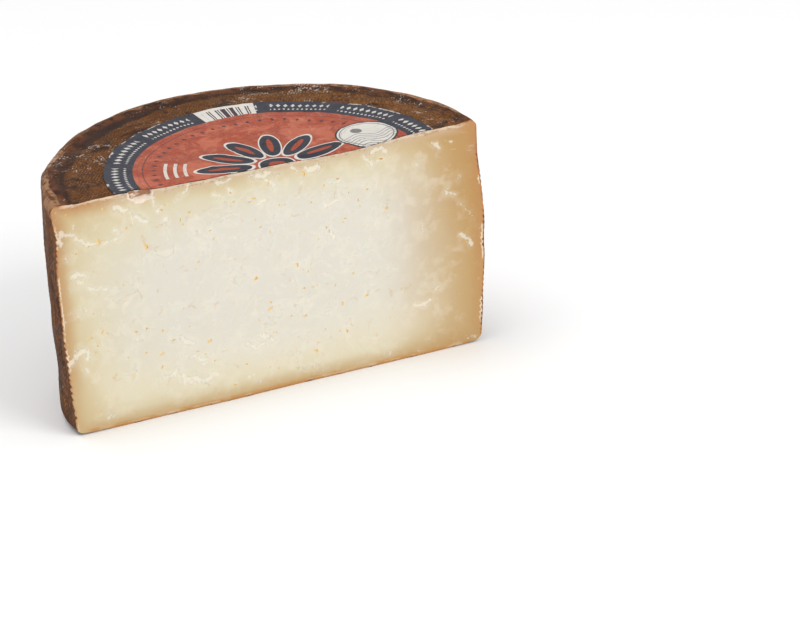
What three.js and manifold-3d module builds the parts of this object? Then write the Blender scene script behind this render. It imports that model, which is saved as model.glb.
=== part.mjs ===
// Half a wheel of aged sheep's milk cheese, cut side towards -Y, lying on its flat base, with the half
// of a round paper label that stayed on its top. Millimetres, +Z up. The origin is on the base, under
// the middle of the piece, and the axis of the whole wheel stands in front of it, in the cut face.
import * as THREE from "three";
import { mergeVertices } from "three/addons/utils/BufferGeometryUtils.js";
import Module from "manifold-3d";

// The wheel before it was cut
const WHEEL_RADIUS = 96;
const WHEEL_HEIGHT = 102.2;
const SHOULDER_RADIUS = 3.2; // rounding between the side and the top
const FOOT_RADIUS = 4; // rounding between the side and the base
const FOOT_LIFT = 0.7; // how far the base rises outside its flat middle
const FLAT_RADIUS = 74; // of that flat middle
const FOOT_TUCK = 2.9; // how far the side pulls in towards the base
const SHOULDER_TUCK = 0.9; // and towards the top
const BELLY_HEIGHT = 0.62 * WHEEL_HEIGHT; // where the side is widest
const DISH_DEPTH = 2.2; // how far the top sinks in the middle
const RIM_GROOVE = { radius: 85, width: 3.5, depth: 0.5 }; // ring left by the mould's lid
const SIDE_LUMPS = { broad: 0.45, small: 0.35 }; // how far the side strays from round
const TOP_LUMPS = { broad: 0.3, small: 0.2 };
// Places where the side stands out or in: at both ends of the cut, on the left and by the foot
const SIDE_SPOTS = [
  { x: -96, y: 0, z: 101, reach: 16, out: 1.7 },
  { x: 96, y: 0, z: 90, reach: 36, out: -2.2 },
  { x: -87, y: 40, z: 40, reach: 50, out: -0.8 },
  { x: -92, y: 16, z: 4, reach: 20, out: 1.4 },
];
const RIM_SAG = { x: -72, y: 60, reach: 48, depth: 1.4 }; // where the rim is lower

// The paper label on the top, stuck on a little off the wheel's middle
const LABEL_RADIUS = 71;
const LABEL_OFFSET = { x: 2, y: -0.6 };
const LABEL_THICKNESS = 0.4;
const LABEL_GAP = 0.3;

// The knife cut through the wheel's axis, as places on the face: x from the axis, z from the base
const CUT_WANDER = 0.35; // slow waves of the cut face
const CRUMBLED_EDGE = { height: 3, depth: 1.3 }; // broken edge under the top rind
const TEAR_DEPTH = 0.8;
const TEARS = [
  { x: -88, z: 87, wide: 7, tall: 4 },
  { x: -84, z: 69, wide: 8, tall: 4 },
  { x: -89, z: 36, wide: 6, tall: 4.5 },
  { x: -66, z: 96, wide: 6, tall: 3.5 },
  { x: -58, z: 100, wide: 6.5, tall: 4.5 },
  { x: -38, z: 14, wide: 10, tall: 3 },
  { x: 34, z: 95, wide: 4, tall: 3 },
  { x: 49, z: 97, wide: 7, tall: 3.5 },
];
const EYE_COUNT = 34;
const EYE_RADIUS = { least: 0.6, most: 1.4 };
const EYE_SPREAD = { x: 0.9, low: 0.07, high: 0.93 }; // as shares of the face

// Where the wheel's axis stands: the origin is under the middle of the half wheel's box
const AXIS_X = 0.4;
const AXIS_Y = -WHEEL_RADIUS / 2;

// How finely the surfaces are divided
const LATHE_SEGMENTS = 144;
const SIDE_STEPS = 14;
const ARC_STEPS = 4;
const TOP_STEPS = 10;
const BASE_STEPS = 4;
const CUT_CELL = 2.4;
const LABEL_SEGMENTS = 96;
const LABEL_RINGS = 7;

const QUARTER_TURN = Math.PI / 2;
const FULL_TURN = 2 * Math.PI;

const wasm = await Module();
wasm.setup();

// Hills and hollows between -1 and 1, about `size` millimetres apart, bent so that no rows show.
function hills(x, y, z, size, shift) {
  const k = FULL_TURN / size;
  const u = k * x + 1.9 * Math.sin(0.53 * k * y + 1.7 * shift);
  const v = k * y + 1.9 * Math.sin(0.47 * k * z + 2.3 * shift);
  const w = k * z + 1.9 * Math.sin(0.59 * k * x + 3.1 * shift);
  const first = Math.sin(0.71 * u + 0.43 * v + shift);
  const second = Math.sin(0.66 * v - 0.38 * w + 2 * shift);
  const third = Math.sin(0.62 * w + 0.35 * u + 3 * shift);
  return (first + second + third) / 3;
}

function smoothstep(low, high, value) {
  return THREE.MathUtils.smoothstep(value, low, high);
}

function between(low, high, share) {
  return low + (high - low) * share;
}

// A generator of even random numbers that gives the same row each time.
function seededRandom(seed) {
  let state = seed;
  return () => {
    state = (state * 1664525 + 1013904223) % 4294967296;
    return state / 4294967296;
  };
}

// The side's radius at a height: widest at the belly, drawn in a little at the foot.
function sideRadius(z) {
  const below = Math.max(0, (BELLY_HEIGHT - z) / BELLY_HEIGHT);
  const above = Math.max(0, (z - BELLY_HEIGHT) / (WHEEL_HEIGHT - BELLY_HEIGHT));
  return WHEEL_RADIUS - FOOT_TUCK * below ** 2 - SHOULDER_TUCK * above ** 2;
}

// The top's height at a distance from the axis: dished, with the shallow ring near the rim.
function topProfile(r) {
  const dish = DISH_DEPTH * Math.max(0, 1 - (r / (WHEEL_RADIUS - SHOULDER_RADIUS)) ** 2);
  const ring = RIM_GROOVE.depth * Math.exp(-(((r - RIM_GROOVE.radius) / RIM_GROOVE.width) ** 2));
  return WHEEL_HEIGHT - dish - ring;
}

// How far the side stands out or in at a place, and how far the top does.
function sideLumps(x, y, z) {
  const broad = SIDE_LUMPS.broad * hills(x, y, 0.5 * z, 48, 10.3);
  let lumps = broad + SIDE_LUMPS.small * hills(x, y, z, 17, 5.9);
  for (const spot of SIDE_SPOTS) {
    const away = Math.hypot(x - spot.x, y - spot.y, z - spot.z);
    lumps += spot.out * (1 - smoothstep(0, spot.reach, away));
  }
  return lumps;
}

function topLumps(x, y) {
  const away = Math.hypot(x - RIM_SAG.x, y - RIM_SAG.y);
  const sag = RIM_SAG.depth * (1 - smoothstep(0, RIM_SAG.reach, away)) * smoothstep(72, 90, Math.hypot(x, y));
  return TOP_LUMPS.broad * hills(x, y, 0, 42, 3.1) + TOP_LUMPS.small * hills(x, y, 0, 15, 7.7) - sag;
}

// The half section of the wheel, from the axis along the base, up the side and back to the axis.
function wheelSection() {
  const footZ = FOOT_LIFT + FOOT_RADIUS;
  const foot = { r: sideRadius(footZ) - FOOT_RADIUS, z: footZ };
  const shoulderZ = WHEEL_HEIGHT - SHOULDER_RADIUS;
  const shoulder = { r: sideRadius(shoulderZ) - SHOULDER_RADIUS, z: shoulderZ };
  const points = [];
  for (let i = 0; i < BASE_STEPS; i++) {
    points.push(new THREE.Vector2((FLAT_RADIUS * i) / (BASE_STEPS - 1), 0));
  }
  for (let i = 0; i < ARC_STEPS; i++) {
    const turn = (QUARTER_TURN * i) / ARC_STEPS;
    const r = foot.r + FOOT_RADIUS * Math.sin(turn);
    points.push(new THREE.Vector2(r, foot.z - FOOT_RADIUS * Math.cos(turn)));
  }
  for (let i = 0; i < SIDE_STEPS; i++) {
    const z = between(foot.z, shoulder.z, i / SIDE_STEPS);
    points.push(new THREE.Vector2(sideRadius(z), z));
  }
  for (let i = 0; i < ARC_STEPS; i++) {
    const turn = (QUARTER_TURN * i) / ARC_STEPS;
    const r = shoulder.r + SHOULDER_RADIUS * Math.cos(turn);
    points.push(new THREE.Vector2(r, shoulder.z + SHOULDER_RADIUS * Math.sin(turn)));
  }
  for (let i = 0; i <= TOP_STEPS; i++) {
    const r = shoulder.r * (1 - i / TOP_STEPS);
    points.push(new THREE.Vector2(r, topProfile(r)));
  }
  return points;
}

// Moves each corner of a geometry by a function that changes the vector it is given.
function reshape(geometry, change) {
  const position = geometry.getAttribute("position");
  const corner = new THREE.Vector3();
  for (let i = 0; i < position.count; i++) {
    corner.fromBufferAttribute(position, i);
    change(corner);
    position.setXYZ(i, corner.x, corner.y, corner.z);
  }
  return geometry;
}

// A closed three.js geometry as a solid that can be cut and joined.
function solidOf(geometry) {
  geometry.deleteAttribute("normal");
  geometry.deleteAttribute("uv");
  const merged = mergeVertices(geometry, 1e-3);
  const index = merged.index.array;
  const triVerts = [];
  for (let i = 0; i < index.length; i += 3) {
    const [a, b, c] = [index[i], index[i + 1], index[i + 2]];
    if (a !== b && b !== c && c !== a) triVerts.push(a, b, c);
  }
  return new wasm.Manifold(
    new wasm.Mesh({
      numProp: 3,
      vertProperties: merged.getAttribute("position").array,
      triVerts: new Uint32Array(triVerts),
    }),
  );
}

// A finished solid as a geometry, with its slivers taken out.
function geometryOf(solid) {
  const mesh = solid.simplify(0.02).getMesh();
  const geometry = new THREE.BufferGeometry();
  geometry.setAttribute("position", new THREE.BufferAttribute(mesh.vertProperties, mesh.numProp));
  geometry.setIndex(new THREE.BufferAttribute(mesh.triVerts, 1));
  geometry.computeVertexNormals();
  return geometry;
}

// The whole wheel: its section turned round the axis, then made uneven as a pressed cheese is.
function wholeWheel() {
  const lathe = new THREE.LatheGeometry(wheelSection(), LATHE_SEGMENTS).rotateX(QUARTER_TURN);
  return solidOf(
    reshape(lathe, (p) => {
      const r = Math.hypot(p.x, p.y);
      const onTop = smoothstep(WHEEL_HEIGHT - 14, WHEEL_HEIGHT - 4, p.z);
      p.z += topLumps(p.x, p.y) * onTop;
      const wider = sideLumps(p.x, p.y, p.z) * smoothstep(70, 90, r);
      p.x += (wider * p.x) / Math.max(r, 1);
      p.y += (wider * p.y) / Math.max(r, 1);
    }),
  );
}

// How deep the tears reach at a place on the cut face, each an uneven oval that fades at its edge.
function tearDepth(x, z) {
  let deepest = 0;
  for (const tear of TEARS) {
    const away = Math.hypot((x - tear.x) / tear.wide, (z - tear.z) / tear.tall);
    const uneven = away + 0.35 * hills(x, 0, z, 7, 4.4);
    deepest = Math.max(deepest, TEAR_DEPTH * (1 - smoothstep(0.55, 1, uneven)));
  }
  return deepest;
}

// How far behind the flat cut plane the paste stands at a place on the face.
function cutDepth(x, z) {
  const wander = CUT_WANDER * hills(x, 0, z, 45, 2.4);
  const crumbling = 0.5 + 0.5 * hills(x, 0, 0, 8, 4.6);
  const edge = smoothstep(WHEEL_HEIGHT - CRUMBLED_EDGE.height, WHEEL_HEIGHT, z);
  return wander + tearDepth(x, z) + CRUMBLED_EDGE.depth * crumbling * edge;
}

// The block that the knife takes away, with the uneven cut face on its inner side.
function removedHalf() {
  const margin = 12;
  const width = 2 * (WHEEL_RADIUS + margin);
  const height = WHEEL_HEIGHT + 2 * margin;
  const depth = WHEEL_RADIUS + margin;
  const cells = [Math.round(width / CUT_CELL), 1, Math.round(height / CUT_CELL)];
  const block = new THREE.BoxGeometry(width, depth, height, ...cells);
  block.translate(0, -depth / 2, WHEEL_HEIGHT / 2);
  return solidOf(
    reshape(block, (p) => {
      if (p.y > -1) p.y += cutDepth(p.x, p.z);
    }),
  );
}

// The small irregular openings that show on the cut face.
function eyes() {
  const random = seededRandom(41);
  const made = [];
  for (let i = 0; i < EYE_COUNT; i++) {
    const radius = between(EYE_RADIUS.least, EYE_RADIUS.most, random());
    const x = between(-EYE_SPREAD.x, EYE_SPREAD.x, random()) * WHEEL_RADIUS;
    const z = between(EYE_SPREAD.low, EYE_SPREAD.high, random()) * WHEEL_HEIGHT;
    const eye = new THREE.IcosahedronGeometry(radius, 0);
    eye.scale(between(0.8, 1.9, random()), 0.9, between(0.6, 1.2, random()));
    eye.rotateY(between(-0.9, 0.9, random()));
    eye.translate(x, cutDepth(x, z) + 0.15 * radius, z);
    made.push(solidOf(eye));
  }
  return wasm.Manifold.union(made);
}

// The round label as a thin sheet that lies on the uneven top.
function wholeLabel() {
  const section = [];
  for (let i = 0; i <= LABEL_RINGS; i++) {
    section.push(new THREE.Vector2((LABEL_RADIUS * i) / LABEL_RINGS, 0));
  }
  for (let i = LABEL_RINGS; i >= 0; i--) {
    section.push(new THREE.Vector2((LABEL_RADIUS * i) / LABEL_RINGS, LABEL_THICKNESS));
  }
  const sheet = new THREE.LatheGeometry(section, LABEL_SEGMENTS).rotateX(QUARTER_TURN);
  sheet.translate(LABEL_OFFSET.x, LABEL_OFFSET.y, LABEL_GAP);
  return solidOf(
    reshape(sheet, (p) => {
      p.z += topProfile(Math.hypot(p.x, p.y)) + topLumps(p.x, p.y);
    }),
  );
}

// A named mesh in its own material, moved so that the origin is under the middle of the piece.
function part(name, solid, material) {
  const mesh = new THREE.Mesh(geometryOf(solid), material);
  mesh.name = name;
  mesh.position.set(AXIS_X, AXIS_Y, 0);
  return mesh;
}

const knife = removedHalf();
const cheese = wholeWheel().subtract(knife).subtract(eyes());
const label = wholeLabel().subtract(knife);

const cheeseMaterial = new THREE.MeshStandardMaterial({ color: 0xe9dcb8, roughness: 0.6, metalness: 0 });
const labelMaterial = new THREE.MeshStandardMaterial({ color: 0xb5543c, roughness: 0.5, metalness: 0 });

const group = new THREE.Group();
group.add(part("cheese", cheese, cheeseMaterial));
group.add(part("label", label, labelMaterial));

export default group;
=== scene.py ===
import math

import bmesh
import bpy
import numpy as np
from bpy.props import FloatProperty, FloatVectorProperty, IntProperty, PointerProperty
from mathutils import Matrix, Vector


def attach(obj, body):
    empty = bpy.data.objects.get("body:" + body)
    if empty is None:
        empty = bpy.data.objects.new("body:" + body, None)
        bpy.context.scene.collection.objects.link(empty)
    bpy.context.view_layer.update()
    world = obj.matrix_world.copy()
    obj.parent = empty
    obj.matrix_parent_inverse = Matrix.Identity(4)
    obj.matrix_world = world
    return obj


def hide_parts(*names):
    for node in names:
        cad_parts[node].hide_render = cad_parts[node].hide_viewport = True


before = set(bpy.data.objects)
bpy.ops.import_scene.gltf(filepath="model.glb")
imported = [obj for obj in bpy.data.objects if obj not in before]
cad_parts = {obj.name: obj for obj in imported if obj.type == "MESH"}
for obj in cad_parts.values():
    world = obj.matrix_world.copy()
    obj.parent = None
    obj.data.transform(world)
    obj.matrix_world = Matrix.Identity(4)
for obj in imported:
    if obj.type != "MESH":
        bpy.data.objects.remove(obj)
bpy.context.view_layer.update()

bl_info = {
    "name": "Aged sheep cheese",
    "version": (1, 0, 0),
    "blender": (4, 5, 0),
    "location": "3D View > Sidebar > Cheese",
    "description": "Half a wheel of aged sheep's milk cheese with half of its paper label",
    "category": "Object",
}

MM = 0.001
FULL_TURN = 2 * math.pi
WIDEST = 96  # the wheel's widest radius in millimetres


def srgb(red, green, blue):
    """A colour in screen values from 0 to 255, as the linear colour that shaders take."""

    def linear(value):
        value /= 255
        return value / 12.92 if value <= 0.04045 else ((value + 0.055) / 1.055) ** 2.4

    return (linear(red), linear(green), linear(blue), 1.0)


def length(name, millimetres, description, least=0.0):
    """A length property that is given in millimetres and kept in metres."""
    return FloatProperty(
        name=name, description=description, default=millimetres * MM, min=least, unit="LENGTH",
        precision=5,
    )


def angle(name, degrees, description):
    """An angle property that is given in degrees."""
    return FloatProperty(
        name=name, description=description, default=math.radians(degrees), subtype="ANGLE"
    )


def colour(name, screen_values, description):
    """A colour property that is given in screen values."""
    return FloatVectorProperty(
        name=name, description=description, default=srgb(*screen_values), size=4, min=0, max=1,
        subtype="COLOR",
    )


class WheelSizes(bpy.types.PropertyGroup):
    radius: length("Radius", WIDEST, "Widest radius of the wheel before it was cut")
    height: length("Height", 102.2, "Height of the wheel at its rim")
    shoulder: length("Shoulder", 3.2, "Rounding between the side and the top")
    foot: length("Foot", 4, "Rounding between the side and the base")
    foot_lift: length("Foot lift", 0.7, "How far the base rises outside its flat middle")
    flat_radius: length("Flat radius", 74, "Radius of the base's flat middle")
    foot_tuck: length("Foot tuck", 2.9, "How far the side pulls in towards the base")
    shoulder_tuck: length("Shoulder tuck", 0.9, "How far the side pulls in towards the top")
    dish: length("Dish", 2.2, "How far the top sinks in the middle")
    rind_cell: length("Rind cell", 1.25, "Spacing of the rind's mesh")
    cut_cell: length("Cut cell", 0.62, "Spacing of the cut face's mesh")
    eye_count: IntProperty(name="Eyes", description="Scattered small openings", default=22, min=0)


class CheeseColours(bpy.types.PropertyGroup):
    core: colour("Core", (221, 216, 203), "Paste in the middle of the wheel")
    cream: colour("Cream", (217, 206, 174), "Paste between the middle and the rind")
    tan: colour("Tan", (206, 183, 137), "Dry paste close to the rind")
    edge: colour("Edge", (186, 134, 80), "Last millimetres of paste under the rind")
    # Amber at the right end is partly drier paste and partly painted shade, with warm reflected light from
    # a neighbouring piece
    amber: colour("Amber", (182, 135, 68), "Dry paste at the right end")
    torn: colour("Torn", (241, 235, 219), "Broken paste")
    eye: colour("Eye", (246, 212, 138), "Inside of the small openings")
    dark: colour("Rind dark", (44, 27, 15), "Hollows of the rind's pattern")
    brown: colour("Rind brown", (98, 60, 32), "Rind")
    ochre: colour("Rind ochre", (160, 108, 50), "Raised threads of the rind's pattern")
    plum: colour("Rind plum", (50, 33, 27), "Dark streaks inside the rim")
    worn: colour("Rind worn", (166, 124, 92), "Worn rim")
    mould: colour("Mould", (205, 196, 186), "White mould")


class LabelSettings(bpy.types.PropertyGroup):
    radius: length("Radius", 71, "Radius of the round label")
    disc: length("Disc", 59.2, "Radius of the red disc inside the dark ring")
    offset_x: length("Offset X", 2, "Label's middle along the cut", least=-0.1)
    offset_y: length("Offset Y", -0.6, "Label's middle across the cut", least=-0.1)
    red: colour("Red", (157, 65, 38), "Ink of the disc")
    navy: colour("Navy", (44, 44, 55), "Ink of the ring and the ornament")
    paper: colour("Paper", (212, 208, 200), "Bare paper")


class StageSettings(bpy.types.PropertyGroup):
    azimuth: angle("Azimuth", -24.88, "Camera's direction round the cheese")
    elevation: angle("Elevation", 24.17, "Camera's height angle")
    roll: angle("Roll", -2.34, "Camera's turn about its own axis")
    distance: length("Distance", 1271.7, "Camera's distance from the middle of the cut face")
    slide_right: length("Slide", 49.85, "Camera's shift to its right")
    slide_down: length("Drop", 13.71, "Camera's shift downwards")
    focal_length: FloatProperty(
        name="Focal length", description="In millimetres on a 36 mm sensor", default=137.8, min=1
    )
    floor: colour("Floor", (250, 250, 250), "Pale floor")


AXIS = Vector((0.4 * MM, -0.5 * WIDEST * MM, 0))  # the wheel's axis, in the cut face
BELLY_SHARE = 0.62  # height of the widest place, as a share of the wheel's
RIM_GROOVE = {"radius": 85, "width": 3.5, "depth": 0.5}
RIM_CREASE = {"radius": 88.3, "width": 1.9, "depth": 0.45}  # comes and goes round the rim
# Places where the side stands out or in: x, y and z, how far they reach, and how far out they are.
# They lie at both ends of the cut, on the left and by the foot.
SIDE_SPOTS = (
    (-96, 0, 101, 16, 1.7), (96, 0, 90, 36, -2.2), (-87, 40, 40, 50, -0.8), (-92, 16, 4, 20, 1.4),
)
RIM_SAG = {"x": -72, "y": 60, "reach": 48, "depth": 1.4}  # where the rim is lower
RIB_PITCH = 2.7  # spacing of the ribs round the side
THREAD_PITCH = 1.05  # spacing of the press cloth's threads on the side
TOP_THREAD_PITCH = 0.92  # and on the top
DASH_LENGTH = 2.2  # where a thread of the side shows between two crossings

# Places on the cut face in millimetres: x from the axis, z from the base
# Torn streaks: half their width, then the x and z of the points they run through
TEARS = (
    (1.5, (-93.2, 86.2), (-92.6, 89.3), (-88.5, 87.8)), (0.9, (-87, 86.6), (-84, 83.4), (-79.4, 83)),
    (0.5, (-76, 82.3), (-68, 82.8)), (0.8, (-87.5, 93.5), (-88, 91)),
    (1.3, (-89.5, 70.3), (-86.6, 71), (-84.3, 70.2)), (0.8, (-88, 68.6), (-85.4, 67.2), (-84.4, 69)),
    (0.7, (-83, 63.8), (-79.5, 62.6), (-76, 61.5)), (1.2, (-70, 96.6), (-66.5, 95.4), (-64.6, 94.4)),
    (0.5, (-64.2, 94), (-62.8, 91), (-62.7, 88.3)), (0.9, (-70, 86.6), (-67, 85.9)),
    (1.1, (-61.3, 91.3), (-59.8, 89.8), (-57.4, 87.4)), (0.9, (-53.8, 98), (-52.6, 95.5), (-52.2, 93.6)),
    (1.3, (-91.2, 35.8), (-89.4, 38), (-87.4, 37.2)), (1.0, (-87.4, 37.2), (-85.9, 36.4), (-85.6, 33.4)),
    (1.2, (-96, 30), (-94.6, 31.8), (-92.4, 34)), (1.0, (-86.8, 28.9), (-86.6, 27.4)),
    (0.8, (-37.5, 99.3), (-39, 96.5), (-42, 94.6)), (0.7, (-51.5, 90.5), (-49, 92.5)),
    (0.8, (-49.5, 85.4), (-48.2, 85.6)), (1.2, (-25.5, 98.6), (-22, 97.8), (-19.5, 98.6)),
    (0.7, (-26, 93.8), (-24, 92.3), (-22.3, 90.8)), (0.8, (-20.5, 95.5), (-19, 93)),
    (1.5, (-9, 98), (-5, 97.2), (-1, 97.8)), (1.3, (-2.8, 94), (-1, 92.5), (0, 91.3)),
    (0.6, (-8, 84.6), (-5.5, 84.9), (-3.5, 86)), (1.0, (8, 97.3), (11, 96.4)),
    (1.4, (15, 95.5), (17.5, 94.8), (19.5, 95.8)), (0.7, (11.5, 92), (13, 89)),
    (0.7, (24, 88), (27, 87.3), (29.5, 87.9)), (0.8, (41.5, 96.5), (42.5, 93), (44, 90.5)),
    (1.2, (45, 97.4), (49, 97.9), (51, 96.8)), (0.7, (46, 91.5), (48.5, 93)),
    (0.8, (22, 77.3), (26, 79.2), (31, 80.5)), (0.9, (24, 65.5), (25.5, 63)),
    (1.2, (-46, 16.2), (-44, 13.6), (-40, 12.6)), (1.3, (-40, 12.6), (-36, 12.3), (-31.5, 13.8)),
    (1.2, (-45, 33.5), (-42.5, 31), (-39.5, 29)), (0.9, (-53, 17.5), (-50.5, 16.8), (-47.5, 19.8)),
    (0.7, (-42, 24), (-38, 22.5), (-35.5, 21.5)), (1.1, (-15, 23), (-12, 21.5), (-9.5, 22.5)),
    (0.9, (-9.5, 26), (-6, 25.2), (-3.5, 23)), (0.4, (-16, 9.4), (-13.5, 9.8)),
    (1.0, (72.5, 95.5), (75, 92.5)), (0.7, (79, 95.5), (81.5, 94.2)), (0.8, (84, 52), (88, 49), (89, 46)),
    (0.8, (62, 24), (66, 22.5), (69, 24)), (0.7, (50, 44), (54, 42.6)), (0.9, (78, 72), (82, 70)),
)
CHIP = {"x": -58, "z": 100.6, "wide": 5.8, "tall": 5.2, "depth": 1.5}  # broken out under the label
# Openings as x, z and radius
MAIN_EYES = (
    (-57.3, 76.6, 1.0), (-65.3, 86.3, 0.7), (-63.4, 87.3, 0.4), (-77.5, 83.2, 0.8), (-74.6, 96.7, 0.7),
    (-90, 97.4, 0.5), (-82, 82.2, 0.4), (-68.2, 62.2, 0.45), (-67.4, 63.1, 0.35), (-84.2, 42, 0.6),
    (-79, 43.6, 0.7), (-77, 42.6, 0.4), (-81.5, 38, 0.5), (-82.6, 35.6, 0.6), (-64.6, 40.4, 0.8),
    (-59.8, 40.8, 0.6), (-68.8, 29.8, 0.5), (-54, 28.2, 0.7), (-54.4, 22, 0.7), (-53, 38.3, 0.6),
    (-38, 87.5, 0.8), (-42, 85.2, 0.6), (-41, 83, 0.5), (-48.2, 93, 0.45), (-49.8, 91, 0.5),
    (-18.3, 88, 0.6), (-9.5, 87.6, 0.7), (-11, 86.4, 0.5), (-29.6, 77.6, 0.5), (-28.2, 73.6, 0.6),
    (-35.3, 65.1, 0.6), (-41.4, 62.4, 0.3), (-9.3, 78, 0.4), (-7.2, 74.5, 0.5), (-3, 71.3, 0.5),
    (-19.2, 62.9, 0.4), (-2.9, 92.6, 0.7), (-19.4, 92.2, 0.6), (-10.6, 52, 1.0), (-4.6, 40, 0.6),
    (-5, 37.3, 0.8), (-10.6, 33.4, 0.35), (-41.2, 37.6, 0.5), (-32.7, 29, 0.9), (-38.4, 25.6, 0.5),
    (-34.9, 23.4, 0.5), (-34.6, 22, 0.35), (-4, 26.1, 0.4), (-2.7, 25.9, 0.4), (-2.6, 9.3, 0.4),
    (-6.4, 10.9, 0.35), (-31, 4.6, 0.4), (13.4, 93.8, 1.0), (28.4, 88.6, 0.8), (48.5, 93.3, 0.9),
    (43.3, 96, 0.5), (41.7, 81, 0.7), (33, 81.3, 0.4), (26.6, 80.4, 0.3), (37.4, 77, 0.6),
    (38, 74.2, 0.5), (31, 70.3, 0.6), (29.9, 68.8, 0.5), (22.4, 68, 0.6), (23.7, 66.3, 0.4),
    (50.3, 70.9, 0.9), (16.2, 80.6, 0.5), (4.2, 82, 0.4), (7, 76.7, 0.35), (19, 60.3, 0.3),
    (8.3, 54.2, 1.0), (13, 50.2, 0.5), (10.8, 43.1, 0.7), (33.3, 45.1, 0.6), (25, 41.5, 0.5),
    (39.2, 33.6, 0.8), (27.8, 32.4, 0.8), (10.5, 30.6, 0.7), (4.3, 32, 0.5), (19.4, 22.3, 0.4),
    (26, 19.9, 0.4), (29.4, 19.2, 0.7), (31.7, 21.3, 0.4), (14.7, 13.3, 0.8), (6.2, 7, 0.45),
)
# Radii of the label's rings of ornament, and the middle of its round field
LEAF_RING, DOT_RING, STITCH_RING, LINE_RING, BEAD_RING, PETAL_RING = 66.4, 62.4, 57.3, 55.2, 50.6, 22
ARC_RINGS = (38, 42, 46)
FIELD = {"x": 45.5, "y": 11.5}


def wheel():
    return bpy.context.scene.cheese_wheel


def mm(value):
    return value / MM


# Relief, as numpy functions of places in millimetres in the wheel's own frame


def smooth(low, high, value):
    """Rises smoothly from 0 at low to 1 at high, or falls where high is the lesser."""
    share = np.clip((value - low) / (high - low), 0, 1)
    return share * share * (3 - 2 * share)


def hills(x, y, z, size, shift):
    """Hills and hollows between -1 and 1, about size apart, bent so that no rows show."""
    k = FULL_TURN / size
    u = k * x + 1.9 * np.sin(0.53 * k * y + 1.7 * shift)
    v = k * y + 1.9 * np.sin(0.47 * k * z + 2.3 * shift)
    w = k * z + 1.9 * np.sin(0.59 * k * x + 3.1 * shift)
    first = np.sin(0.71 * u + 0.43 * v + shift)
    second = np.sin(0.66 * v - 0.38 * w + 2 * shift)
    third = np.sin(0.62 * w + 0.35 * u + 3 * shift)
    return (first + second + third) / 3


def lattice(i, j, k, seed):
    """An even random number between -1 and 1 for each whole-numbered place."""
    mixed = np.sin(i * 127.1 + j * 311.7 + k * 74.7 + seed * 53.3) * 43758.5453
    return 2 * (mixed - np.floor(mixed)) - 1


def grain(x, y, z, size, seed):
    """Irregular smooth noise between -1 and 1 with details of one size."""
    x, y, z = np.broadcast_arrays(x / size, y / size, z / size)
    i, j, k = np.floor(x), np.floor(y), np.floor(z)
    fx, fy, fz = (smooth(0, 1, part) for part in (x - i, y - j, z - k))
    total = 0
    for di, wx in ((0, 1 - fx), (1, fx)):
        for dj, wy in ((0, 1 - fy), (1, fy)):
            for dk, wz in ((0, 1 - fz), (1, fz)):
                total = total + wx * wy * wz * lattice(i + di, j + dj, k + dk, seed)
    return total


def crags(x, y, z, size, seed, octaves=3):
    """Noise with finer and finer details."""
    total, weight = 0, 0
    for octave in range(octaves):
        share = 0.5**octave
        total = total + share * grain(x, y, z, size * share, seed + octave)
        weight += share
    return total / weight


def side_radius(z):
    """The side's radius at a height."""
    sizes = wheel()
    belly = BELLY_SHARE * mm(sizes.height)
    below = np.maximum(0, (belly - z) / belly)
    above = np.maximum(0, (z - belly) / (mm(sizes.height) - belly))
    return mm(sizes.radius) - mm(sizes.foot_tuck) * below**2 - mm(sizes.shoulder_tuck) * above**2


def ring_depth(ring, r):
    """The depth of a round groove at a distance from the axis."""
    return ring["depth"] * np.exp(-(((r - ring["radius"]) / ring["width"]) ** 2))


def top_profile(r):
    """The top's height at a distance from the axis."""
    sizes = wheel()
    rim = mm(sizes.radius - sizes.shoulder)
    dish = mm(sizes.dish) * np.maximum(0, 1 - (r / rim) ** 2)
    return mm(sizes.height) - dish - ring_depth(RIM_GROOVE, r)


def bell(distance, reach):
    """One in the middle of a place, falling smoothly to nothing at its reach."""
    return smooth(1, 0, distance / reach)


def side_lumps(x, y, z):
    """How far the side stands out or in."""
    lumps = 0.45 * hills(x, y, 0.5 * z, 48, 10.3) + 0.35 * hills(x, y, z, 17, 5.9)
    for spot_x, spot_y, spot_z, reach, out in SIDE_SPOTS:
        away = np.sqrt((x - spot_x) ** 2 + (y - spot_y) ** 2 + (z - spot_z) ** 2)
        lumps = lumps + out * bell(away, reach)
    return lumps


def top_lumps(x, y):
    """How far the top stands up or down."""
    away = np.hypot(x - RIM_SAG["x"], y - RIM_SAG["y"])
    sag = RIM_SAG["depth"] * bell(away, RIM_SAG["reach"]) * smooth(72, 90, np.hypot(x, y))
    return 0.3 * hills(x, y, 0, 42, 3.1) + 0.2 * hills(x, y, 0, 15, 7.7) - sag


def tear_field(x, z):
    """How deep inside the nearest torn streak the cut face is: 1 on its line, 0 at its edge."""
    bent_x = x + 1.8 * crags(x, 5, z, 4, 53, 4)
    bent_z = z + 1.8 * crags(x, 9, z, 4, 67, 4)
    swelling = 1.35 + 0.7 * grain(x, 0, z, 3.6, 91)
    deepest = np.minimum(0.2, 3 * crags(x, 0, z, 6, 37, 4) - 1.35)
    for width, *points in TEARS:
        for (x0, z0), (x1, z1) in zip(points, points[1:]):
            run_x, run_z = x1 - x0, z1 - z0
            along = ((bent_x - x0) * run_x + (bent_z - z0) * run_z) / (run_x**2 + run_z**2)
            along = np.clip(along, 0, 1)
            away = np.hypot(bent_x - x0 - along * run_x, bent_z - z0 - along * run_z)
            deepest = np.maximum(deepest, 1 - away / (width * swelling))
    return deepest


def crumbled_edge(x, z):
    """How far the paste has crumbled away just under the top rind."""
    top = mm(wheel().height)
    crumbling = 0.5 + 0.5 * hills(x, 0, 0, 11, 4.6)
    broad = 0.9 * crumbling * smooth(top - 2.4, top, z)
    crumbs = 0.35 * crags(x, 0, z, 3.7, 23) * smooth(top - 2.8, top - 1, z)
    return broad + crumbs


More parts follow.
